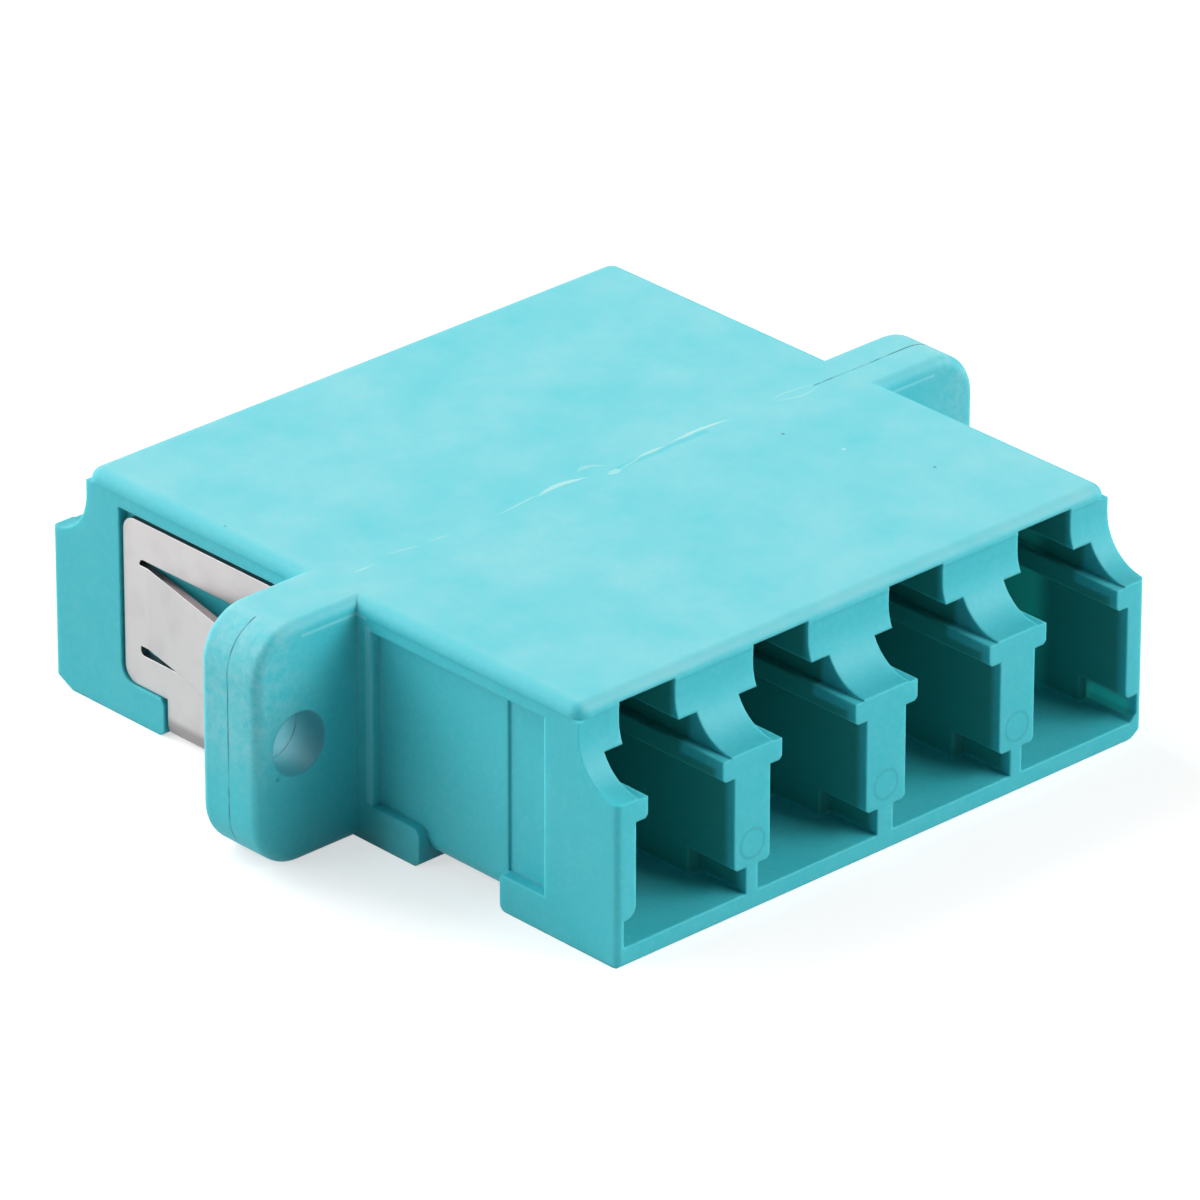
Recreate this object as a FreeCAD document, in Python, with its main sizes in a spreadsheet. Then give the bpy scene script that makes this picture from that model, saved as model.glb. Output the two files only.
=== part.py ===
"""LC fibre adapter, quad, flanged: two welded half mouldings, a folded panel clip, four split sleeves.

Frame: X across the ports, Y along the fibres, Z up. The origin is under the middle of the flange,
on the plane that the body stands on. All sizes are millimetres and live in the spreadsheet.
"""
import FreeCAD, Part
import Sketcher
import os
import re

# alias, value, meaning
DIMENSIONS = [
    ("body_width", 25.24, "body across its four ports"),
    ("half_length", 14.6, "port face to weld plane, one half"),
    ("body_height", 9.2, "bottom to top"),
    ("band_under", 8.68, "underside of the band round the roof"),
    ("band_proud", 0.02, "how far that band stands out from the sides"),
    ("band_corner", 0.55, "corners of that band, seen from above"),
    ("edge_radius", 0.5, "rounding of the roof's edges"),
    ("ear_radius", 0.4, "rounding of the ears' front contour"),
    ("corner_radius", 0.25, "rounding of the upright corners beside the ports"),
    ("base_break", 0.1, "broken bottom edge under the ports"),
    ("scoop_radius", 1.92, "concave step above the port face"),
    ("ledge_height", 6.2, "top of the port face, where the scoop starts"),
    ("key_across", 0.68, "cut corner at the bottom of each port face, along the face"),
    ("key_along", 0.95, "cut corner, along the side"),
    ("key_rise", 0.45, "cut corner, upwards"),
    ("flange_width", 34.4, "over both ears"),
    ("flange_half", 1.5, "flange thickness that each half carries"),
    ("flange_corner", 1.9, "corner radius of the ears"),
    ("screw_spacing", 30.6, "distance between the two screw holes"),
    ("screw_hole", 2.4, "diameter of a screw hole"),
    ("screw_height", 4.6, "height of the screw holes"),
    ("port_pitch", 6.25, "between the two ports of a pair"),
    ("pair_pitch", 12.7, "between the two pairs"),
    ("floor_level", 0.72, "top of the floor under the ports"),
    ("column_foot", 1.75, "underside of the wide columns at the mouth"),
    ("rail_under", 5.35, "underside of the latch rails"),
    ("rail_top", 6.15, "top of the latch rails"),
    ("ear_top", 7.3, "top of the slot that takes the latch ears"),
    ("roof_under", 8.82, "underside of the roof"),
    ("mouth_half", 2.86, "half width of the undercut at the mouth"),
    ("bore_half", 2.3, "half width of the plug bore"),
    ("rail_half", 1.75, "half the gap between two rails"),
    ("ear_half", 2.15, "half width of the ear slot"),
    ("lever_half", 1.3, "half width of the slot for the latch lever"),
    ("mouth_depth", 2.3, "depth of the undercut behind the port face"),
    ("mouth_break", 0.12, "broken corners of the column feet and rail ends"),
    ("end_round", 0.45, "rounding of the foot of the first column"),
    ("key_wall", 0.3, "slope inside the last port, over the cut corner"),
    ("septum_half", 1.8, "wall between opposite ports, one half"),
    ("latch_from", 8.9, "shoulder that holds the latch ears, from the weld plane"),
    ("latch_to", 5.4, "end of the latch pocket, from the weld plane"),
    ("ferrule_height", 3.03, "axis of the ferrules above the bottom"),
    ("tube_diameter", 2.9, "sleeve holder, outside"),
    ("tube_reach", 4.1, "end of the sleeve holder, from the weld plane"),
    ("seat_diameter", 1.66, "pocket that the sleeve floats in"),
    ("seat_reach", 3.45, "end of that pocket, from the weld plane"),
    ("lip_diameter", 1.44, "narrow end of the funnel that leads into that pocket"),
    ("funnel_mouth", 2.0, "mouth of the funnel, at the end of the holder"),
    ("recess_depth", 0.4, "side recess for the clip's plates"),
    ("recess_near", 2.2, "recess, end near the flange"),
    ("recess_far", 10.97, "recess, far end"),
    ("recess_low", 1.45, "recess, lower edge"),
    ("recess_high", 8.22, "recess, upper edge"),
    ("recess_round", 0.7, "rounding of the recess's lower far corner"),
    ("foot_round", 0.3, "rounding of the feet beside the strap, at their top"),
    ("foot_corner", 0.28, "rounding of those feet and of the groove's edges at the bottom"),
    ("panel_low", 1.38, "bare name panel, lower edge"),
    ("panel_depth", 0.1, "how far that panel is sunk in the recess"),
    ("groove_near", 4.62, "strap groove across the bottom, near edge"),
    ("groove_far", 8.72, "strap groove, far edge"),
    ("groove_depth", 0.3, "depth of the strap groove"),
    ("groove_round", 0.9, "rounding of the body where the strap bends"),
    ("gauge", 0.3, "thickness of the clip"),
    ("bend_inner", 0.2, "inside radius of the strap's bends"),
    ("plate_near", 2.4, "clip plate, end near the flange"),
    ("plate_far", 10.85, "clip plate, far end"),
    ("plate_low", 1.5, "clip plate, lower edge"),
    ("plate_high", 7.98, "clip plate, upper edge"),
    ("plate_round", 0.6, "corner radius of the plate"),
    ("strap_near", 4.85, "strap, near edge"),
    ("strap_far", 8.62, "strap, far edge"),
    ("tongue_low", 3.1, "tongue, lower edge"),
    ("tongue_high", 6.27, "tongue, upper edge"),
    ("slot_low", 2.75, "window under the tongue, lower edge"),
    ("slot_high", 6.52, "window over the tongue, upper edge"),
    ("slot_round", 0.2, "rounding of the window's corners"),
    ("slot_root", 10.0, "blind ends of the slots beside the tongue"),
    ("slot_tip", 2.95, "window, end near the flange"),
    ("tongue_root", 9.7, "line where the tongue leaves the plate"),
    ("tongue_tip", 3.15, "free end of the tongue"),
    ("tongue_angle", 12.4, "degrees that the tongue is bent out"),
    ("tongue_bend", 1.0, "outside radius of that bend"),
    ("sleeve_bore", 1.249, "inside diameter of a relaxed sleeve"),
    ("sleeve_outer", 1.62, "outside diameter of a sleeve"),
    ("sleeve_length", 6.8, "length of a sleeve"),
    ("sleeve_slit", 0.25, "width of the slit along a sleeve"),
]

doc = FreeCAD.newDocument("LcAdapter")
sizes = doc.addObject("Spreadsheet::Sheet", "Sizes")
for row, (alias, value, meaning) in enumerate(DIMENSIONS, start=1):
    sizes.set(f"A{row}", meaning)
    sizes.set(f"B{row}", str(value))
    sizes.setAlias(f"B{row}", alias)
doc.recompute()
ALIASES = {alias for alias, value, meaning in DIMENSIONS}


def bound(formula):
    """The formula with each alias written as a reference to the spreadsheet."""
    return re.sub("[a-z_]+", lambda word: f"Sizes.{word[0]}" if word[0] in ALIASES else word[0], formula)


def amount(formula):
    """What the formula comes to in millimetres."""
    return float(sizes.evalExpression(bound(formula)))


# ---------------------------------------------------------------- sketches

def plane_sketch(body, name, role, offset="0"):
    """Sketch on one of the body's origin planes, moved along its normal by a formula.

    XY_Plane draws x, y and faces +Z. XZ_Plane draws x, z and faces -Y. YZ_Plane draws y, z and faces +X.
    """
    plane = next(item for item in body.Origin.OriginFeatures if item.Role == role)
    sketch = body.newObject("Sketcher::SketchObject", name)
    sketch.AttachmentSupport = [(plane, "")]
    sketch.MapMode = "FlatFace"
    sketch.setExpression("AttachmentOffset.Base.z", bound(offset))
    return sketch


def hold(sketch, geometry, place, u=None, v=None):
    """Tie a point of the sketch to formulas for its distance from the sketch's origin."""
    for kind, formula in (("DistanceX", u), ("DistanceY", v)):
        if formula is None:
            continue
        index = sketch.addConstraint(
            Sketcher.Constraint(kind, -1, 1, geometry, place, amount(formula)))
        sketch.setExpression(f"Constraints[{index}]", bound(formula))


def outline(sketch, corners):
    """Closed outline through corners (u, v), all formulas.

    A corner (u, v, (cu, cv, turn)) is followed by an arc about (cu, cv), turning left for 1, right for -1.
    """
    first = sketch.GeometryCount
    points = [FreeCAD.Vector(amount(corner[0]), amount(corner[1]), 0) for corner in corners]
    starts = []
    for index, corner in enumerate(corners):
        here = points[index]
        following = points[(index + 1) % len(points)]
        if len(corner) == 2:
            sketch.addGeometry(Part.LineSegment(here, following), False)
            starts.append(1)
            continue
        centre = FreeCAD.Vector(amount(corner[2][0]), amount(corner[2][1]), 0)
        tail, head = (here, following) if corner[2][2] > 0 else (following, here)
        circle = Part.Circle(centre, FreeCAD.Vector(0, 0, 1), (tail - centre).Length)
        sketch.addGeometry(Part.ArcOfCircle(circle, circle.parameter(tail), circle.parameter(head)), False)
        starts.append(1 if corner[2][2] > 0 else 2)
    for index, corner in enumerate(corners):
        before = (index - 1) % len(corners)
        sketch.addConstraint(Sketcher.Constraint(
            "Coincident", first + before, 3 - starts[before], first + index, starts[index]))
        hold(sketch, first + index, starts[index], corner[0], corner[1])
        if len(corner) == 3:
            chord = points[(index + 1) % len(points)] - points[index]
            if abs(chord.x) < abs(chord.y):
                hold(sketch, first + index, 3, u=corner[2][0])
            else:
                hold(sketch, first + index, 3, v=corner[2][1])


def circle(sketch, u, v, diameter):
    """Circle about (u, v), all formulas."""
    centre = FreeCAD.Vector(amount(u), amount(v), 0)
    index = sketch.addGeometry(Part.Circle(centre, FreeCAD.Vector(0, 0, 1), amount(diameter) / 2), False)
    hold(sketch, index, 3, u, v)
    rule = sketch.addConstraint(Sketcher.Constraint("Diameter", index, amount(diameter)))
    sketch.setExpression(f"Constraints[{rule}]", bound(diameter))


def rectangle(sketch, left, low, right, high):
    """Rectangle between two opposite corners, all formulas."""
    outline(sketch, [(left, low), (right, low), (right, high), (left, high)])


def rounded_rectangle(sketch, left, low, right, high, radius):
    """Rectangle with four equal round corners, all formulas."""
    inner_left, inner_right = f"{left} + {radius}", f"{right} - {radius}"
    inner_low, inner_high = f"{low} + {radius}", f"{high} - {radius}"
    outline(sketch, [
        (inner_left, low),
        (inner_right, low, (inner_right, inner_low, 1)),
        (right, inner_low),
        (right, inner_high, (inner_right, inner_high, 1)),
        (inner_right, high),
        (inner_left, high, (inner_left, inner_high, 1)),
        (left, inner_high),
        (left, inner_low, (inner_left, inner_low, 1)),
    ])


# ---------------------------------------------------------------- features

def extrude(body, kind, name, profile, length, **options):
    """Pad or Pocket of a profile; a pocket has to take material away."""
    before = body.Tip.Shape.Volume if body.Tip else 0.0
    feature = body.newObject(f"PartDesign::{kind}", name)
    feature.Profile = profile
    feature.setExpression("Length", bound(length))
    feature.Refine = True
    for option, value in options.items():
        setattr(feature, option, value)
    doc.recompute()
    change = feature.Shape.Volume - before
    if (change > 0) != (kind == "Pad"):
        raise RuntimeError(f"{body.Label}.{name} changes the volume by {change:.3f}")
    return feature


def pad(body, name, profile, length, **options):
    """Pad along the sketch's normal."""
    return extrude(body, "Pad", name, profile, length, **options)


def pocket(body, name, profile, length, **options):
    """Pocket against the sketch's normal."""
    return extrude(body, "Pocket", name, profile, length, **options)


def spin(body, name, profile):
    """Take away what the profile sweeps when it turns about its own horizontal axis."""
    feature = body.newObject("PartDesign::Groove", name)
    feature.Profile = profile
    feature.ReferenceAxis = (profile, ["H_Axis"])
    doc.recompute()
    return feature


def origin_axis(body, role):
    """Reference to one of the body's own axes or planes."""
    return next(item for item in body.Origin.OriginFeatures if item.Role == role)


def repeat(body, name, originals, first_count, first_span, second_count=1, second_span=None):
    """Rows of copies along +X: a first row, then that row again."""
    pattern = body.newObject("PartDesign::LinearPattern", name)
    pattern.Originals = originals
    pattern.Direction = (origin_axis(body, "X_Axis"), [""])
    pattern.setExpression("Length", bound(first_span))
    pattern.Occurrences = first_count
    if second_count > 1:
        pattern.Direction2 = (origin_axis(body, "X_Axis"), [""])
        pattern.setExpression("Length2", bound(second_span))
        pattern.Occurrences2 = second_count
    body.Tip = pattern
    doc.recompute()
    return pattern


def mirror(body, name, originals):
    """Mirror image on the other side of the YZ plane."""
    copy = body.newObject("PartDesign::Mirrored", name)
    copy.Originals = originals
    copy.MirrorPlane = (origin_axis(body, "YZ_Plane"), [""])
    body.Tip = copy
    doc.recompute()
    return copy


def dress(body, kind, name, size, test):
    """Fillet or Chamfer on the edges of the tip that pass the test."""
    base = body.Tip
    names = [f"Edge{index}" for index, edge in enumerate(base.Shape.Edges, start=1) if test(edge)]
    feature = body.newObject(f"PartDesign::{kind}", name)
    feature.Base = (base, names)
    feature.setExpression("Radius" if kind == "Fillet" else "Size", bound(size))
    doc.recompute()
    return feature


def near(value, formula):
    """Whether a coordinate is at the place that the formula gives."""
    return abs(value - amount(formula)) < 0.001


def spans(edge):
    """Lowest and highest coordinates of an edge."""
    box = edge.BoundBox
    return (box.XMin, box.XMax), (box.YMin, box.YMax), (box.ZMin, box.ZMax)


def stays(span, formula):
    """Whether an edge keeps to one coordinate along its whole length."""
    return near(span[0], formula) and near(span[1], formula)


# ---------------------------------------------------------------- housing

FIRST_PORT = "0 - pair_pitch / 2 - port_pitch / 2"
LAST_PORT = "pair_pitch / 2 + port_pitch / 2"
SIDE = "body_width / 2"


def shell(body):
    """Outside of one half: a block with the scoop over its port face, and half of the flange."""
    side = plane_sketch(body, "SideProfile", "YZ_Plane")
    outline(side, [
        ("0", "0"),
        ("0 - half_length", "0"),
        ("0 - half_length", "ledge_height", ("0 - half_length", "ledge_height + scoop_radius", 1)),
        ("scoop_radius - half_length", "ledge_height + scoop_radius"),
        ("scoop_radius - half_length", "band_under"),
        ("0", "band_under"),
    ])
    pad(body, "Block", side, "body_width", Midplane=True)

    band = plane_sketch(body, "BandProfile", "XY_Plane", "band_under")
    right, front = SIDE + " + band_proud", "scoop_radius - half_length - band_proud"
    left, corner = "0 - " + SIDE + " - band_proud", front + " + band_corner"
    outline(band, [
        (left, "0"),
        (left, corner, (left + " + band_corner", corner, 1)),
        (left + " + band_corner", front),
        (right + " - band_corner", front, (right + " - band_corner", corner, 1)),
        (right, corner),
        (right, "0"),
    ])
    pad(body, "RoofBand", band, "body_height - band_under")

    ears = plane_sketch(body, "FlangeProfile", "XZ_Plane")
    rounded_rectangle(ears, "0 - flange_width / 2", "0", "flange_width / 2", "body_height", "flange_corner")
    circle(ears, "screw_spacing / 2", "screw_height", "screw_hole")
    circle(ears, "0 - screw_spacing / 2", "screw_height", "screw_hole")
    pad(body, "Flange", ears, "flange_half")


def soften_outside(body):
    """Break the edge under the ports, then round the ears, the roof and the corners beside the ports."""
    def low(edge):
        x_span, y_span, z_span = spans(edge)
        return stays(z_span, "0") and stays(y_span, "0 - half_length")

    def ear(edge):
        x_span, y_span, z_span = spans(edge)
        beyond = max(abs(x_span[0]), abs(x_span[1])) - amount(SIDE + " + band_proud")
        return stays(y_span, "0 - flange_half") and not edge.isClosed() and beyond > 0.01

    def roof(edge):
        x_span, y_span, z_span = spans(edge)
        return stays(z_span, "body_height") and y_span[0] < -amount("flange_half") - 0.01

    def upright(edge):
        x_span, y_span, z_span = spans(edge)
        lengthwise = near(z_span[0], "base_break") and near(z_span[1], "ledge_height")
        return lengthwise and stays(y_span, "0 - half_length")

    dress(body, "Chamfer", "BaseEdge", "base_break", low)
    dress(body, "Fillet", "EarRounding", "ear_radius", ear)
    dress(body, "Fillet", "RoofRounding", "edge_radius", roof)
    dress(body, "Fillet", "UprightRounding", "corner_radius", upright)


def key_corner(body):
    """Cut off the bottom corner on the moulding's right, which keys it in the weld fixture."""
    profile = plane_sketch(body, "KeyProfile", "YZ_Plane", SIDE)
    outline(profile, [
        ("0 - half_length", "0"),
        ("key_along - half_length", "0"),
        ("0 - half_length", "key_rise"),
    ])
    slant = FreeCAD.Vector(-amount("key_across"), -amount("key_along"), 0)
    reach = "key_across + key_along"
    cut = pocket(body, "KeyCorner", profile, reach, UseCustomVector=True, Direction=slant)
    cut.setExpression("Direction.x", bound("0 - key_across"))
    cut.setExpression("Direction.y", bound("0 - key_along"))
    doc.recompute()


def port_outline(sketch, right_side):
    """Outline that is alike on both sides of the first port; its right side is given upwards."""
    right = [(f"{FIRST_PORT} + ( {across} )", up) for across, up in right_side]
    left = [(f"{FIRST_PORT} - ( {across} )", up) for across, up in right_side]
    outline(sketch, right + left[::-1])


def ports(body):
    """Four plug ports: undercut mouth, bore with its latch rails, and latch pocket."""
    mouth = plane_sketch(body, "MouthProfile", "XZ_Plane", "half_length")
    port_outline(mouth, [
        ("mouth_half", "floor_level"),
        ("mouth_half", "column_foot"),
        ("bore_half + mouth_break", "column_foot"),
        ("bore_half", "column_foot + mouth_break"),
    ])
    bore = plane_sketch(body, "BoreProfile", "XZ_Plane", "half_length")
    port_outline(bore, [
        ("bore_half", "floor_level"),
        ("bore_half", "rail_under"),
        ("rail_half + mouth_break", "rail_under"),
        ("rail_half", "rail_under + mouth_break"),
        ("rail_half", "rail_top"),
        ("ear_half", "rail_top"),
        ("ear_half", "ear_top"),
        ("lever_half", "ear_top"),
        ("lever_half", "roof_under"),
    ])
    latch = plane_sketch(body, "LatchProfile", "XZ_Plane", "latch_from")
    rectangle(latch, FIRST_PORT + " - ear_half", "rail_top", FIRST_PORT + " + ear_half", "roof_under")
    cuts = [
        pocket(body, "Mouth", mouth, "mouth_depth"),
        pocket(body, "Bore", bore, "half_length - septum_half"),
        pocket(body, "LatchPocket", latch, "latch_from - latch_to"),
    ]
    repeat(body, "Ports", cuts, 2, "port_pitch", 2, "pair_pitch")

    foot = plane_sketch(body, "FirstFootProfile", "XZ_Plane", "half_length")
    edge, up = FIRST_PORT + " - bore_half", "column_foot + end_round"
    inner = edge + " - end_round"
    outline(foot, [(inner, "column_foot"), (edge, "column_foot"), (edge, up, (inner, up, -1))])
    pocket(body, "FirstFoot", foot, "mouth_depth")

    corner = plane_sketch(body, "KeyWallProfile", "XZ_Plane", "half_length")
    wall = LAST_PORT + " + mouth_half"
    outline(corner, [
        (wall + " - key_wall", "floor_level"),
        (wall, "floor_level"),
        (wall, "floor_level + key_wall"),
    ])
    pad(body, "KeyWall", corner, "mouth_depth", Reversed=True)


def sleeve_holders(body):
    """Tube behind each port that carries half a sleeve; the funnel at its end keeps the sleeve in."""
    holder = plane_sketch(body, "HolderProfile", "XZ_Plane", "tube_reach")
    circle(holder, FIRST_PORT, "ferrule_height", "tube_diameter")
    seat = plane_sketch(body, "SeatProfile", "XZ_Plane")
    circle(seat, FIRST_PORT, "ferrule_height", "seat_diameter")
    funnel = plane_sketch(body, "FunnelProfile", "YZ_Plane", FIRST_PORT)
    funnel.setExpression("AttachmentOffset.Base.y", bound("ferrule_height"))
    outline(funnel, [
        ("0 - tube_reach", "0"),
        ("0 - seat_reach", "0"),
        ("0 - seat_reach", "lip_diameter / 2"),
        ("0 - tube_reach", "funnel_mouth / 2"),
    ])
    steps = [
        pad(body, "Holder", holder, "tube_reach - septum_half", Reversed=True),
        pocket(body, "Seat", seat, "seat_reach", Reversed=True),
        spin(body, "Funnel", funnel),
    ]
    repeat(body, "Holders", steps, 2, "port_pitch", 2, "pair_pitch")


def clip_seat(body):
    """Recesses in both sides and the groove under the body that the panel clip lies in."""
    corner, low_corner = "recess_round - recess_far", "recess_low + recess_round"
    recess = plane_sketch(body, "RecessProfile", "YZ_Plane", SIDE)
    outline(recess, [
        (corner, "recess_low"),
        ("0 - groove_far - foot_round", "recess_low",
         ("0 - groove_far - foot_round", "recess_low - foot_round", -1)),
        ("0 - groove_far", "recess_low - foot_round"),
        ("0 - groove_far", "0"),
        ("0 - groove_near", "0"),
        ("0 - groove_near", "recess_low - foot_round",
         ("foot_round - groove_near", "recess_low - foot_round", -1)),
        ("foot_round - groove_near", "recess_low"),
        ("0 - recess_near", "recess_low"),
        ("0 - recess_near", "recess_high"),
        ("0 - recess_far", "recess_high"),
        ("0 - recess_far", low_corner, (corner, low_corner, 1)),
    ])
    cut = pocket(body, "Recess", recess, "recess_depth")
    mirror(body, "Recesses", [cut])

    groove = plane_sketch(body, "GrooveProfile", "XY_Plane")
    rectangle(groove, "0 - " + SIDE, "0 - groove_far", SIDE, "0 - groove_near")
    pocket(body, "Groove", groove, "groove_depth", Reversed=True)

    def foot_edge(edge):
        x_span, y_span, z_span = spans(edge)
        beside = stays(y_span, "0 - groove_far") or stays(y_span, "0 - groove_near")
        return beside and stays(z_span, "0")

    dress(body, "Fillet", "FootRounding", "foot_corner", foot_edge)

    def bend_edge(edge):
        x_span, y_span, z_span = spans(edge)
        side = stays(x_span, SIDE + " - recess_depth") or stays(x_span, "recess_depth - " + SIDE)
        return side and stays(z_span, "groove_depth")

    dress(body, "Fillet", "BendRelief", "groove_round", bend_edge)

    panel = plane_sketch(body, "PanelProfile", "YZ_Plane", "0 - " + SIDE)
    rectangle(panel, "0 - recess_far", "panel_low", "0 - groove_far", "recess_high")
    pocket(body, "NamePanel", panel, "recess_depth + panel_depth", Reversed=True)


def build_housing(label, turn):
    """One half moulding. Both halves come from the same mould; the rear one is turned about Z."""
    body = doc.addObject("PartDesign::Body", label)
    shell(body)
    soften_outside(body)
    key_corner(body)
    ports(body)
    sleeve_holders(body)
    clip_seat(body)
    body.Placement = FreeCAD.Placement(
        FreeCAD.Vector(0, 0, 0), FreeCAD.Rotation(FreeCAD.Vector(0, 0, 1), turn))
    return body


# ---------------------------------------------------------------- clip

def build_clip(label):
    """Panel clip of the rear half: one strip of stainless sheet folded round the body."""
    body = doc.addObject("PartDesign::Body", label)
    outside, inside = SIDE + " - recess_depth + gauge", SIDE + " - recess_depth"
    bend = "( bend_inner + gauge )"

    strap = plane_sketch(body, "StrapProfile", "XZ_Plane", "0 - strap_near")
    outline(strap, [
        ("0 - ( " + outside + " )", "plate_low"),
        ("0 - ( " + outside + " )", bend, (bend + " - ( " + outside + " )", bend, 1)),
        (bend + " - ( " + outside + " )", "0"),
        (outside + " - " + bend, "0", (outside + " - " + bend, bend, 1)),
        (outside, bend),
        (outside, "plate_low"),
        (inside, "plate_low"),
        (inside, bend, (inside + " - bend_inner", bend, -1)),
        (inside + " - bend_inner", "gauge"),
        ("bend_inner - ( " + inside + " )", "gauge", ("bend_inner - ( " + inside + " )", bend, -1)),
        ("0 - ( " + inside + " )", bend),
        ("0 - ( " + inside + " )", "plate_low"),
    ])
    pad(body, "Strap", strap, "strap_far - strap_near", Reversed=True)

    plate = plane_sketch(body, "PlateProfile", "YZ_Plane", inside)
    rounded_rectangle(plate, "plate_near", "plate_low", "plate_far", "plate_high", "plate_round")
    rounded_rectangle(plate, "slot_tip", "slot_low", "slot_root", "slot_high", "slot_round")
    side_plate = pad(body, "Plate", plate, "gauge")
    root = plane_sketch(body, "RootProfile", "YZ_Plane", inside)
    rectangle(root, "tongue_root", "tongue_low", "slot_root", "tongue_high")
    side_root = pad(body, "TongueRoot", root, "gauge")

    hinge, rise, run = outside + " + tongue_bend", "sin( tongue_angle )", "cos( tongue_angle )"
    wide = "( tongue_bend + gauge )"
    reach = f"( tongue_root - tongue_bend * {rise} - tongue_tip )"
    tip = f"{hinge} - tongue_bend * {run} + {reach} * {rise} / {run}"
    tongue = plane_sketch(body, "TongueProfile", "XY_Plane", "tongue_low")
    outline(tongue, [
        (inside, "tongue_root"),
        (outside, "tongue_root", (hinge, "tongue_root", 1)),
        (f"{hinge} - tongue_bend * {run}", f"tongue_root - tongue_bend * {rise}"),
        (tip, "tongue_tip"),
        (f"{tip} - gauge * {run}", f"tongue_tip - gauge * {rise}"),
        (f"{hinge} - {wide} * {run}", f"tongue_root - {wide} * {rise}", (hinge, "tongue_root", -1)),
    ])
    side_tongue = pad(body, "Tongue", tongue, "tongue_high - tongue_low")
    mirror(body, "OtherSide", [side_plate, side_root, side_tongue])
    return body


# ---------------------------------------------------------------- sleeves

def build_sleeve(label, across):
    """Zirconia split sleeve that lines up two ferrules, floating between the two half holders."""
    body = doc.addObject("PartDesign::Body", label)
    wall = plane_sketch(body, "WallProfile", "XZ_Plane")
    circle(wall, "0", "0", "sleeve_outer")
    circle(wall, "0", "0", "sleeve_bore")
    pad(body, "Tube", wall, "sleeve_length", Midplane=True)
    slit = plane_sketch(body, "SlitProfile", "XZ_Plane")
    rectangle(slit, "0 - sleeve_slit / 2", "0", "sleeve_slit / 2", "sleeve_outer")
    pocket(body, "Slit", slit, "sleeve_length", Midplane=True)
    body.setExpression("Placement.Base.x", bound(across))
    body.setExpression("Placement.Base.z", bound("ferrule_height"))
    return body


# ---------------------------------------------------------------- assembly

def checked(body):
    """The body's shape, once every feature in it has built and it is one valid solid."""
    for item in body.Group:
        if "Invalid" in item.State or "Error" in item.State:
            raise RuntimeError(f"{body.Label}: {item.Name} is {item.State}")
    shape = body.Shape
    if shape.isNull() or not shape.isValid() or len(shape.Solids) != 1:
        raise RuntimeError(f"{body.Label} is not one valid solid")
    return shape


pieces = [
    build_housing("front_housing", 0),
    build_housing("rear_housing", 180),
    build_clip("panel_clip"),
]
ports_across = (FIRST_PORT, "port_pitch / 2 - pair_pitch / 2", "pair_pitch / 2 - port_pitch / 2", LAST_PORT)
for number, across in enumerate(ports_across, start=1):
    pieces.append(build_sleeve(f"split_sleeve_{number}", across))
doc.recompute()

os.makedirs("parts", exist_ok=True)
for piece in pieces:
    shape = checked(piece)
    shape.exportStep(f"parts/{piece.Label}.step")
    print(f"{piece.Label}: {shape.Volume:.2f} mm3, {len(shape.Faces)} faces")
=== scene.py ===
"""Looks of the quad LC fibre adapter: two welded aqua mouldings, a steel panel clip, ceramic sleeves.

Everything is in metres in the part's own frame: X across the ports, Y along the fibres, Z up.
The materials work in millimetres, on Object coordinates.
"""
import math

import bpy
from mathutils import Matrix, Vector

MM = 0.001
ROOF = 9.2
SCREW_X, SCREW_Z, SCREW_RADIUS = 15.3, 4.6, 1.2
PIN_PITCH, PIN_Z, PIN_RADIUS = 6.35, 2.58, 0.55
EDGE_BREAK, SHEARED_EDGE = 0.12 * MM, 0.04 * MM
SINKING_SHARE, SINKING_DEPTH = 0.6, 0.45 * MM

# places on the part, each a box between two corners (x, y, z) in millimetres;
# the first group holds on both sides and both halves, the second where it stands
ROOF_FIELD = (-1, -1, ROOF - 0.05), (12.1, 14.1, ROOF + 1)
EAR_TOPS = (12, -1, ROOF - 0.3), (15.8, 1.1, ROOF + 1)
EAR_TIPS = (16.9, -2, 5.5), (20, 2, 12)
EAR_STEP = (12.6, 1.4, 8.62), (15.1, 2, 8.68)
RECESS_RIM = (12.55, 2.0, 1.6), (12.7, 2.16, 8.3)
PORT_BORES = (-1, 2.2, 0.9), (11.9, 12.3, 8.7)
PORT_MOUTHS = (-1, 12.3, 0.9), (12.4, 14.0, 5.7)
COLUMN_ENDS = (-1, 14.5, 0), (8, 15, 9)

LAST_BORE_WALL = (11.5, -9.9, 1), (11.9, -4, 7)
LAST_MOUTH_WALL = (12.2, -14, 0.9), (12.4, -12.3, 1.2)
FLASH_SHADOW_STRIP = (0.9, -0.2, 9), (5.2, -0.06, 10)
LEFT_SEAM = (-20, -0.02, -1), (-15.9, 0.02, 12)
RIGHT_SEAM = (10.6, -0.02, -1), (20, 0.02, 12)
SCREW_HOLE_SEAM = (-16.6, -0.02, 3.3), (-14, 0.02, 5.9)
WELD = (-20, -0.15, -1), (20, 0.15, 12)
BESIDE_WELD = (-20, -0.3, -1), (20, 0.3, 12)
CLIP_FOLD_SHADE = (-13, 0, -1), (13, 15, 0.55)

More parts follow.
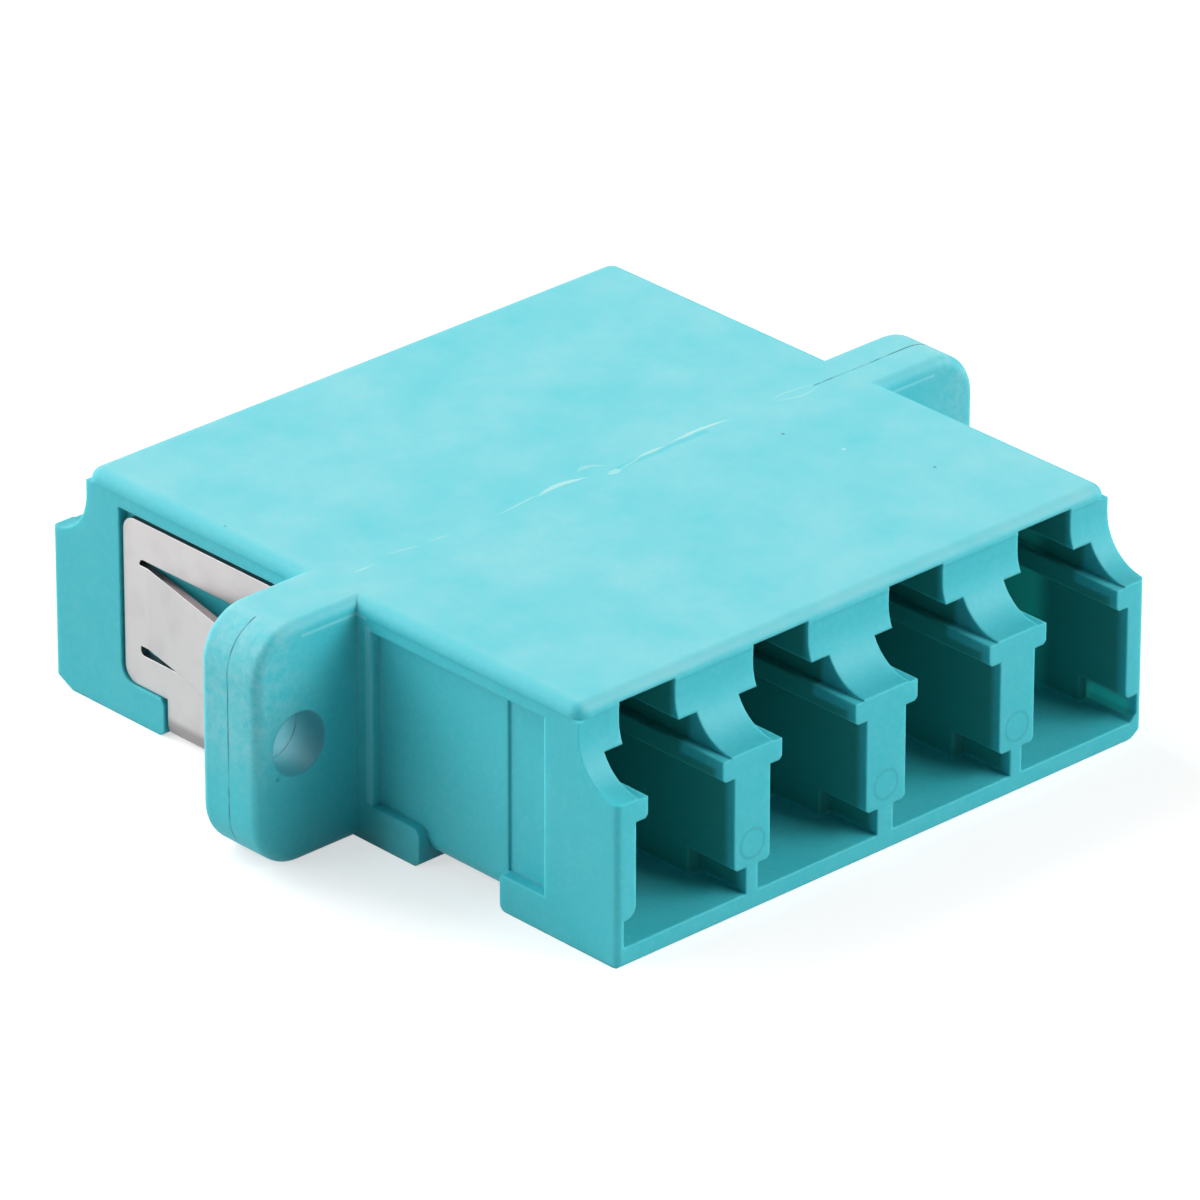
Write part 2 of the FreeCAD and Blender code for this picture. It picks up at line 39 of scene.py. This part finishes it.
# slivers of weld flash on the roof: both ends (x, y), bulge and half width in millimetres, strength
FLASH = [
    ((-11.4, 0.08), (-10.4, 0.05), 0.0, 0.06, 0.45),
    ((-9.7, 0.35), (-8.1, 0.0), 0.05, 0.07, 0.25),
    ((-7.9, 0.08), (-6.9, 0.0), 0.0, 0.05, 0.3),
    ((-4.8, -0.02), (-2.4, 0.2), 0.0, 0.05, 0.45),
    ((-2.7, 0.1), (-0.3, 0.05), 0.2, 0.11, 0.7),
    ((-0.4, 0.6), (0.85, 0.1), 0.3, 0.12, 0.35),
    ((0.3, -0.3), (0.95, -0.28), 0.0, 0.17, 0.5),
    ((0.7, -0.28), (2.4, 0.0), 0.0, 0.05, 0.45),
    ((2.0, 0.0), (3.4, -0.02), 0.06, 0.08, 0.6),
    ((3.6, 0.05), (6.6, 0.04), 0.13, 0.085, 0.75),
    ((8.5, 0.15), (10.8, 0.02), 0.15, 0.05, 0.35),
    ((8.5, 0.1), (10.8, -0.1), -0.3, 0.05, 0.35),
]

# specks in the plastic: centre and radius in millimetres, colour, strength
SPECKS = [
    ((7.77, -4.42, ROOF), 0.1, "#E8F4F2", 0.35),
    ((9.1, -7.64, ROOF), 0.09, "#1D6F7A", 0.7),
    ((7.03, -2.09, ROOF), 0.08, "#1D6F7A", 0.7),
    ((-12.18, 5.79, ROOF), 0.09, "#1D6F7A", 0.5),
    ((-12.62, -12.88, 8.04), 0.09, "#1D6F7A", 0.7),
    ((-16.29, -1.46, 3.52), 0.1, "#1D6F7A", 0.6),
    ((-13.78, -1.46, 5.48), 0.08, "#1D6F7A", 0.5),
    ((-16.16, -1.3, 8.59), 0.16, "#E4F2EE", 0.7),
    ((-16.3, -1.3, 8.42), 0.11, "#E4F2EE", 0.7),
    ((-15.09, -1.3, 8.92), 0.1, "#DCF0EE", 0.5),
]

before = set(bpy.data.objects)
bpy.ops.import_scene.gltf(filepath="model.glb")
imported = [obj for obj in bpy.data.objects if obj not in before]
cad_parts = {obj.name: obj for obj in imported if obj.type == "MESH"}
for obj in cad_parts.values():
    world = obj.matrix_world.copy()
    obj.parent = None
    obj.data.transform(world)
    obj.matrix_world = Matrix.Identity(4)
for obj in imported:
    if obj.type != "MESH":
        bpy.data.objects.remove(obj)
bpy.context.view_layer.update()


# ---------------------------------------------------------------- small tools

def colour(hex_code):
    """Linear colour, with alpha, of an sRGB hex code."""
    channels = [int(hex_code[place:place + 2], 16) / 255 for place in (1, 3, 5)]
    return [c / 12.92 if c <= 0.04045 else ((c + 0.055) / 1.055) ** 2.4 for c in channels] + [1.0]


def add(tree, kind, inputs=None, **settings):
    """Adds one shader node. inputs gives each socket its value, or the node or socket that feeds it."""
    node = tree.nodes.new("ShaderNode" + kind)
    for name, value in settings.items():
        setattr(node, name, value)
    for name, value in (inputs or {}).items():
        if isinstance(value, bpy.types.Node):
            value = next(socket for socket in value.outputs if socket.enabled)
        if isinstance(value, bpy.types.NodeSocket):
            tree.links.new(value, node.inputs[name])
        else:
            node.inputs[name].default_value = value
    return node


def new_material(name):
    """Empty material and its node tree."""
    material = bpy.data.materials.new(name)
    material.use_nodes = True
    material.node_tree.nodes.clear()
    return material, material.node_tree


# ---------------------------------------------------------------- marks on a surface

def in_millimetres(tree):
    """Place of each point on the piece."""
    metres = add(tree, "TexCoord").outputs["Object"]
    return add(tree, "VectorMath", {0: metres, 1: (1 / MM,) * 3}, operation="MULTIPLY")


def in_box(tree, place, box, *fades):
    """1 inside a box, 0 from a fade outside it on: one fade for all axes, or one for each."""
    low, high = box
    middle = [(a + b) / 2 for a, b in zip(low, high)]
    reach = [(b - a) / 2 for a, b in zip(low, high)]
    past = add(tree, "VectorMath", {0: place, 1: middle}, operation="SUBTRACT")
    past = add(tree, "VectorMath", {0: past}, operation="ABSOLUTE")
    past = add(tree, "VectorMath", {0: past, 1: reach}, operation="SUBTRACT")
    past = add(tree, "VectorMath", {0: past, 1: fades * 3 if len(fades) == 1 else fades}, operation="DIVIDE")
    axes = add(tree, "SeparateXYZ", {"Vector": past}).outputs
    furthest = add(tree, "Math", {0: axes["X"], 1: axes["Y"]}, operation="MAXIMUM")
    furthest = add(tree, "Math", {0: furthest, 1: axes["Z"]}, operation="MAXIMUM")
    return add(tree, "MapRange", {"Value": furthest, "From Min": 1.0, "From Max": 0.0},
               interpolation_type="SMOOTHSTEP")


def from_line(tree, place, centre):
    """Distance from the line that runs along the fibres through a centre (x, z)."""
    across = add(tree, "VectorMath", {0: place, 1: (1, 0, 1)}, operation="MULTIPLY")
    return add(tree, "VectorMath", {0: across, 1: (centre[0], 0, centre[1])}, operation="DISTANCE")


def wavering(tree, place, pitch, reach):
    """The place, drifting by up to reach over lengths of about pitch, so that a line gets crooked."""
    drift = add(tree, "TexNoise", {"Vector": place, "Scale": 1 / pitch, "Detail": 2}).outputs["Color"]
    drift = add(tree, "VectorMath", {0: drift, 1: (0.5, 0.5, 0.5)}, operation="SUBTRACT")
    return add(tree, "VectorMath", {0: drift, 1: (2 * reach,) * 3, 2: place}, operation="MULTIPLY_ADD")


def lay(tree, under, over, share, *masks):
    """Lays a share of a shade over what is under it, where every mask is 1."""
    for mask in masks:
        share = add(tree, "Math", {0: share, 1: mask}, operation="MULTIPLY")
    return add(tree, "Mix", {"Factor": share, "A": under, "B": colour(over)}, data_type="RGBA")


# ---------------------------------------------------------------- marks on the mouldings

def weld_flash(tree, place, roof):
    """Slivers of flash that the weld has squeezed out across the roof, thickest in the middle of each."""
    axes = add(tree, "SeparateXYZ", {"Vector": wavering(tree, place, 0.9, 0.1)}).outputs
    flash = 0.0
    for (from_x, from_y), (to_x, to_y), bulge, half, strength in FLASH:
        # 0 to 1 from end to end, and from it an arch of 4a(1 - a)
        along = add(tree, "MapRange", {"Value": axes["X"], "From Min": from_x, "From Max": to_x}, clamp=False)
        arch = add(tree, "Math", {0: along, 1: -4.0, 2: 4.0}, operation="MULTIPLY_ADD")
        arch = add(tree, "Math", {0: along, 1: arch}, operation="MULTIPLY")
        line = add(tree, "Math", {0: along, 1: to_y - from_y, 2: from_y}, operation="MULTIPLY_ADD")
        line = add(tree, "Math", {0: arch, 1: bulge, 2: line}, operation="MULTIPLY_ADD")
        off = add(tree, "Math", {0: axes["Y"], 1: line}, operation="SUBTRACT")
        off = add(tree, "Math", {0: off}, operation="ABSOLUTE")
        width = add(tree, "Math", {0: arch, 1: half}, operation="MULTIPLY")
        inside = add(tree, "Math", {0: width, 1: off}, operation="SUBTRACT")
        edge = {"Value": inside, "From Min": -0.03, "From Max": 0.04, "To Max": strength}
        sliver = add(tree, "MapRange", edge, interpolation_type="SMOOTHSTEP")
        flash = add(tree, "Math", {0: flash, 1: sliver}, operation="MAXIMUM")
    return add(tree, "Math", {0: flash, 1: roof}, operation="MULTIPLY")


def ear_seam(tree, place):
    """Hairline where the two halves of each ear meet, open in places and closed in others."""
    crooked = wavering(tree, place, 1.5, 0.05)
    left = in_box(tree, crooked, LEFT_SEAM, 0.03)
    right = in_box(tree, crooked, RIGHT_SEAM, 0.03)
    in_hole = in_box(tree, crooked, SCREW_HOLE_SEAM, 0.03)
    seam = add(tree, "Math", {0: left, 1: right}, operation="MAXIMUM")
    seam = add(tree, "Math", {0: seam, 1: in_hole}, operation="MAXIMUM")
    gaping = add(tree, "TexNoise", {"Vector": place, "Scale": 1 / 0.9, "Detail": 2})
    gaping = add(tree, "MapRange", {"Value": gaping, "From Min": 0.4, "From Max": 0.55, "To Min": 0.3})
    return add(tree, "Math", {0: seam, 1: gaping}, operation="MULTIPLY")


def pin_rings(tree, folded):
    """Round marks of the ejector pins on the ends of the three inner columns."""
    rings = 0.0
    for centre_x in (0.0, PIN_PITCH):
        off = from_line(tree, folded, (centre_x, PIN_Z))
        off = add(tree, "Math", {0: off, 1: PIN_RADIUS}, operation="SUBTRACT")
        off = add(tree, "Math", {0: off}, operation="ABSOLUTE")
        ring = add(tree, "MapRange", {"Value": off, "From Min": 0.09, "From Max": 0.03})
        rings = add(tree, "Math", {0: rings, 1: ring}, operation="MAXIMUM")
    return add(tree, "Math", {0: rings, 1: in_box(tree, folded, COLUMN_ENDS, 0.05)}, operation="MULTIPLY")


# ---------------------------------------------------------------- materials

def moulded_aqua_pbt():
    """Injection-moulded PBT in aqua: satin, lets light through where thin, with cloudy flow marks."""
    material, tree = new_material("moulded_aqua_pbt")
    place = in_millimetres(tree)
    # the same place on all four quarters of the part, for what both sides and both halves have
    folded = add(tree, "VectorMath", {0: place}, operation="ABSOLUTE")
    roof = in_box(tree, folded, ROOF_FIELD, 0.35)
    ear_tops = in_box(tree, folded, EAR_TOPS, 0.5)
    roof = add(tree, "Math", {0: roof, 1: ear_tops}, operation="MAXIMUM")

    # pale clouds a few millimetres wide where the melt flowed, weak everywhere; the roof and the tops of the
    # ears are painted paler as a sheen of light from above, and the clouds are laid strongest there, partly
    # flow marks and partly painted sheen
    clouds = add(tree, "TexNoise", {"Vector": place, "Scale": 1 / 3.5, "Detail": 6, "Roughness": 0.65})
    clouds = add(tree, "MapRange", {"Value": clouds, "From Min": 0.3, "From Max": 0.75})
    base = lay(tree, colour("#35BECA"), "#86D0D6", 0.12, clouds)
    base = lay(tree, base, "#86D0D6", 0.34, roof)
    base = lay(tree, base, "#98D2D8", 0.6, roof, clouds)
    # fine mottling of the pigment, 0.25 mm
    mottle = add(tree, "TexNoise", {"Vector": place, "Scale": 1 / 0.25, "Detail": 3, "Roughness": 0.7})
    mottle = add(tree, "MapRange", {"Value": mottle, "From Min": 0.45, "From Max": 0.75})
    base = lay(tree, base, "#5CCCD5", 0.35, mottle)

    # painted shade: the walls inside the ports are painted darker and greener, as shade falls deep inside the
    # ports
    for walls in (PORT_BORES, PORT_MOUTHS):
        base = lay(tree, base, "#239594", 1.0, in_box(tree, folded, walls, 0.1, 0.4, 0.15))
    # painted light: the outer wall of the last port is thin there, and is painted paler for the light that
    # comes through it
    base = lay(tree, base, "#4CE0D8", 0.9, in_box(tree, place, LAST_BORE_WALL, 0.1, 1.0, 1.0))
    base = lay(tree, base, "#5CE8E6", 0.95, in_box(tree, place, LAST_MOUTH_WALL, 0.1, 0.5, 0.5))

    # ears scuffed whitish near their rounded ends; painted shade makes the walls inside the screw holes grey
    # and darker
    scuffs = add(tree, "TexNoise", {"Vector": place, "Scale": 1 / 0.45, "Detail": 6, "Roughness": 0.75})
    scuffs = add(tree, "MapRange", {"Value": scuffs, "From Min": 0.36, "From Max": 0.75})
    base = lay(tree, base, "#A6D6DA", 0.5, scuffs, in_box(tree, folded, EAR_TIPS, 3.2))
    off = from_line(tree, folded, (SCREW_X, SCREW_Z))
    screw_hole_shade = add(tree, "MapRange", {"Value": off, "From Min": SCREW_RADIUS + 0.06, "From Max": SCREW_RADIUS})
    base = lay(tree, base, "#48A2B0", 0.75, screw_hole_shade)

    # painted highlights along the step lines of the mould, where they catch the light: near the top of the
    # ears, and beside the side recess
    base = lay(tree, base, "#8ADDE4", 0.5, in_box(tree, folded, EAR_STEP, 0.05))
    base = lay(tree, base, "#7FD8E0", 0.5, in_box(tree, folded, RECESS_RIM, 0.12))

    # weld flash with a painted shadow beside it, seam, pin marks and specks
    flash, seam, rings = weld_flash(tree, place, roof), ear_seam(tree, place), pin_rings(tree, folded)
    # painted shadow: a darker strip beside the flash slivers, towards the front
    base = lay(tree, base, "#35BECA", 0.5, in_box(tree, wavering(tree, place, 0.9, 0.1), FLASH_SHADOW_STRIP, 0.1))
    base = lay(tree, base, "#BEE2DC", 0.85, flash)
    base = lay(tree, base, "#0F6B78", 0.9, seam)
    base = lay(tree, base, "#1B8E9C", 0.3, rings)
    for centre, radius, shade, strength in SPECKS:
        off = add(tree, "VectorMath", {0: wavering(tree, place, 0.3, 0.08), 1: centre}, operation="DISTANCE")
        spot = add(tree, "MapRange", {"Value": off, "From Min": radius, "From Max": radius * 0.6})
        base = lay(tree, base, shade, strength, spot)

    # relief: moulded grain, drawn at 0.15 mm because the real one is too fine to show; raised flash;
    # sunk seam and rings
    relief = add(tree, "TexNoise", {"Vector": place, "Scale": 1 / 0.15, "Detail": 2})
    for part, height in ((flash, 5.0), (seam, -2.5), (rings, -3.0)):
        relief = add(tree, "Math", {0: part, 1: height, 2: relief}, operation="MULTIPLY_ADD")
    # edges broken a little, but not along the weld, where the halves lie flush
    weld = in_box(tree, place, WELD, 0.05)
    radius = add(tree, "Math", {0: weld, 1: -EDGE_BREAK, 2: EDGE_BREAK}, operation="MULTIPLY_ADD")
    rounded = add(tree, "Bevel", {"Radius": radius}, samples=4)
    bump = add(tree, "Bump", {"Strength": 0.5, "Distance": 0.004 * MM, "Height": relief, "Normal": rounded})
    # light sinks in, but not beside the weld, where it would be lost between the halves
    weld = in_box(tree, place, BESIDE_WELD, 0.5)
    sinking = add(tree, "Math", {0: weld, 1: -SINKING_SHARE, 2: SINKING_SHARE}, operation="MULTIPLY_ADD")
    shader = add(tree, "BsdfPrincipled", {
        "Base Color": base, "Roughness": 0.58, "IOR": 1.52, "Normal": bump, "Subsurface Weight": sinking,
        "Subsurface Radius": (0.35, 1.0, 1.0), "Subsurface Scale": SINKING_DEPTH})
    add(tree, "OutputMaterial", {"Surface": shader})
    return material


def rolled_spring_steel():
    """Stainless spring strip as rolled: pale satin grey faces with a faint grain, darker sheared edges."""
    material, tree = new_material("rolled_spring_steel")
    place = in_millimetres(tree)
    # rolling grain, drawn out along the strip, and at 0.12 mm because the real one is too fine to show
    stretched = add(tree, "Mapping", {"Vector": place, "Scale": (1, 0.08, 1)})
    grain = add(tree, "TexNoise", {"Vector": stretched, "Scale": 1 / 0.12, "Detail": 3})
    stains = add(tree, "TexNoise", {"Vector": place, "Scale": 1 / 1.5, "Detail": 4})
    stains = add(tree, "MapRange", {"Value": stains, "From Min": 0.5, "From Max": 0.75})
    facing = add(tree, "VectorMath", {0: add(tree, "TexCoord").outputs["Normal"]}, operation="ABSOLUTE")
    facing = add(tree, "SeparateXYZ", {"Vector": facing}).outputs["X"]
    face = add(tree, "MapRange", {"Value": facing, "From Min": 0.6, "From Max": 0.9})
    tint = lay(tree, colour("#6E6668"), "#C0BEBE", 1.0, face)
    tint = lay(tree, tint, "#A8A4A4", 0.4, stains)
    # the fold under the body starts here; painted shade darkens the strip where it turns under
    tint = lay(tree, tint, "#7E7A7A", 0.7, in_box(tree, place, CLIP_FOLD_SHADE, 0.35))
    rounded = add(tree, "Bevel", {"Radius": SHEARED_EDGE}, samples=4)
    bump = add(tree, "Bump", {"Strength": 0.2, "Distance": 0.004 * MM, "Height": grain, "Normal": rounded})
    shader = add(tree, "BsdfPrincipled", {
        "Base Color": tint, "Metallic": 1.0, "Roughness": 0.42, "Normal": bump})
    add(tree, "OutputMaterial", {"Surface": shader})
    return material


def ground_zirconia():
    """Ground zirconia ceramic: glossy cream white."""
    material, tree = new_material("ground_zirconia")
    cloud = add(tree, "TexNoise", {"Vector": in_millimetres(tree), "Scale": 1 / 0.8})
    base = lay(tree, colour("#EEEAE0"), "#F6F3EC", 1.0, cloud)
    shader = add(tree, "BsdfPrincipled", {"Base Color": base, "Roughness": 0.18, "IOR": 2.1})
    add(tree, "OutputMaterial", {"Surface": shader})
    return material


finish_of = {"housing": moulded_aqua_pbt(), "clip": rolled_spring_steel(), "sleeve": ground_zirconia()}
for name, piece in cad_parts.items():
    kind = next(word for word in finish_of if word in name)
    for slot in piece.material_slots:
        slot.material = finish_of[kind]


# ---------------------------------------------------------------- floor, light and camera

def seen_directly(tree):
    """1 for what the camera sees, also in a reflection or through something clear."""
    path = add(tree, "LightPath").outputs
    seen = add(tree, "Math", {0: path["Is Camera Ray"], 1: path["Is Glossy Ray"]}, operation="MAXIMUM")
    return add(tree, "Math", {0: seen, 1: path["Is Transmission Ray"]}, operation="MAXIMUM")


def studio_floor():
    """White table that keeps the object's soft shadow."""
    bpy.ops.object.select_all(action="DESELECT")
    bpy.ops.mesh.primitive_plane_add(size=4)
    floor = bpy.context.object
    floor.name = "studio_floor"
    material, tree = new_material("white_table")
    matt = add(tree, "BsdfDiffuse", {"Color": colour("#C8C8C8")})
    lift = add(tree, "Emission", {"Color": colour("#FFFFFF"), "Strength": 0.6})
    nothing = add(tree, "Emission", {"Strength": 0.0})
    glow = add(tree, "MixShader", {0: seen_directly(tree), 1: nothing, 2: lift})
    both = add(tree, "AddShader", {0: matt, 1: glow})
    add(tree, "OutputMaterial", {"Surface": both})
    floor.data.materials.append(material)


def studio_world():
    """Even white surroundings, seen as plain white."""
    world = bpy.data.worlds.new("studio_world")
    world.use_nodes = True
    tree = world.node_tree
    tree.nodes.clear()
    strength = add(tree, "Mix", {"Factor": seen_directly(tree), "A": 0.07, "B": 1.0}, data_type="FLOAT")
    backdrop = add(tree, "Background", {"Color": colour("#FFFFFF"), "Strength": strength})
    add(tree, "OutputWorld", {"Surface": backdrop})
    bpy.context.scene.world = world


def soft_box(name, where, size, power):
    """Square area lamp that looks at the object."""
    lamp = bpy.data.lights.new(name, "AREA")
    lamp.size = size
    lamp.energy = power
    holder = bpy.data.objects.new(name, lamp)
    bpy.context.scene.collection.objects.link(holder)
    holder.location = where
    holder.rotation_euler = Vector(where).to_track_quat("Z", "Y").to_euler()


def studio_camera():
    """Long lens from the front left, a little above."""
    azimuth, elevation, roll = math.radians(-43.019), math.radians(26.692), math.radians(0.055)
    distance, target = 389.95 * MM, Vector((0, 0, 4.65 * MM))
    data = bpy.data.cameras.new("camera")
    data.sensor_width = 36
    data.lens = 332.8
    data.shift_x, data.shift_y = 0.0033, -0.0076
    data.clip_start = 0.01
    turn = (Matrix.Rotation(azimuth, 4, "Z") @ Matrix.Rotation(math.pi / 2 - elevation, 4, "X")
            @ Matrix.Rotation(roll, 4, "Z"))
    camera = bpy.data.objects.new("camera", data)
    bpy.context.scene.collection.objects.link(camera)
    camera.matrix_world = Matrix.Translation(target + turn.to_3x3() @ Vector((0, 0, distance))) @ turn
    bpy.context.scene.camera = camera


studio_floor()
studio_world()
soft_box("key_light", (0.5, -0.35, 0.35), 0.35, 1.9)
soft_box("front_light", (0.25, -0.5, 0.35), 0.35, 2.55)
soft_box("left_light", (-0.45, 0.3, 0.22), 0.45, 2.1)
soft_box("back_light", (-0.1, 0.5, 0.4), 0.4, 3.3)
studio_camera()
bpy.context.scene.view_settings.view_transform = "Standard"
